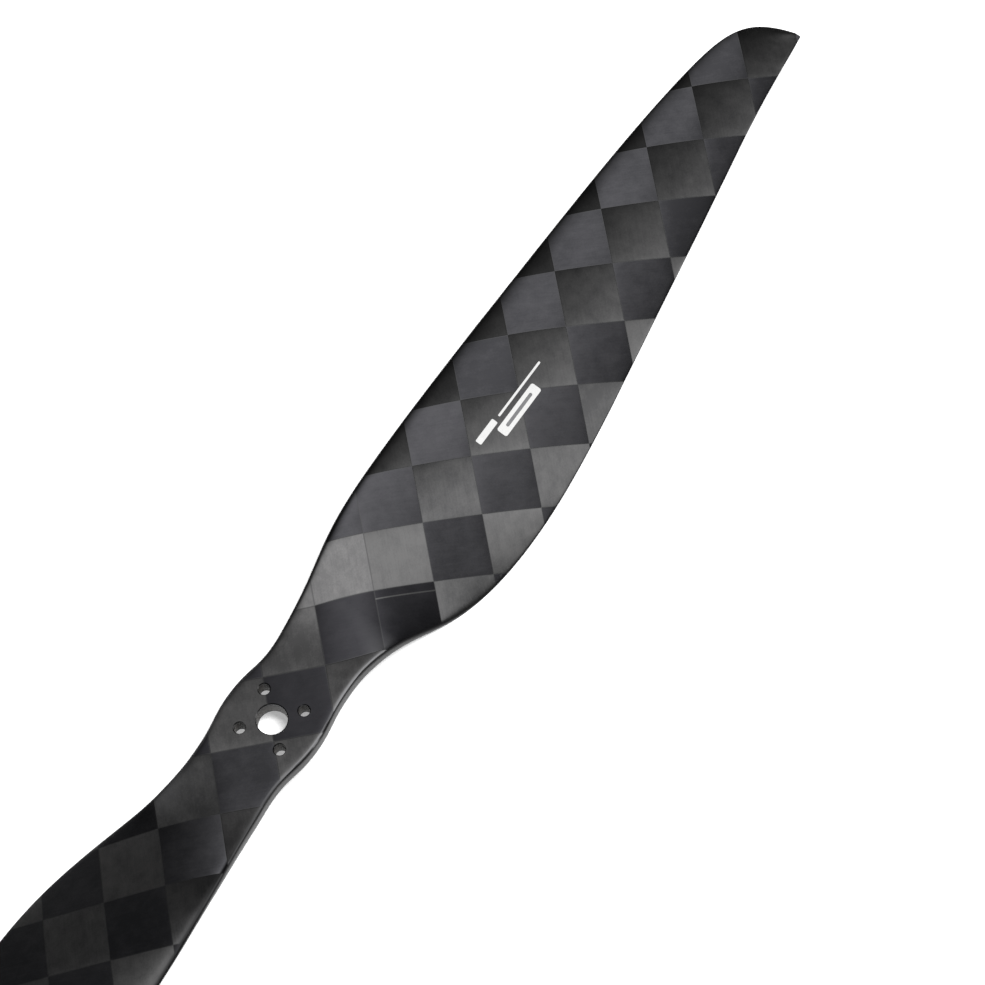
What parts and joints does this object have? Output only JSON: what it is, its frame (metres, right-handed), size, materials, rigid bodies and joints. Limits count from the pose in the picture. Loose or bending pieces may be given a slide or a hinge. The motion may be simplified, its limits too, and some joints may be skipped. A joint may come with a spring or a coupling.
{
  "type": "multirotor propeller",
  "caption": "Long two-bladed carbon sandwich propeller with twisted, swept blades, a flat hub, a centre bore and a circle of screw holes.",
  "frame": {"origin": "centre of the bore, half way through the hub", "axes": "+Z along the spin axis towards the thrust side, +X along blade A, whose leading edge faces +Y"},
  "size_m": [0.7112, 0.0742, 0.025],
  "materials": {
    "carbon_laminate": "satin clear resin over spread-tow carbon checks",
    "carbon_plies": "cured carbon and epoxy, unpainted",
    "hub_insert": "drilled, raw",
    "foam": "closed-cell structural foam",
    "resin": "filled epoxy"
  },
  "bodies": {
    "root": {"upper_skin": "carbon_laminate", "lower_skin": "carbon_laminate", "hub_block": "hub_insert", "upper_hub_doubler": "carbon_plies", "lower_hub_doubler": "carbon_plies", "upper_spar_cap": "carbon_plies", "lower_spar_cap": "carbon_plies", "blade_a_foam_core": "foam", "blade_a_leading_edge_bond": "resin", "blade_a_trailing_edge_bond": "resin", "blade_a_tip_filler": "resin", "blade_b_foam_core": "foam", "blade_b_leading_edge_bond": "resin", "blade_b_trailing_edge_bond": "resin", "blade_b_tip_filler": "resin"}
  },
  "joints": []
}
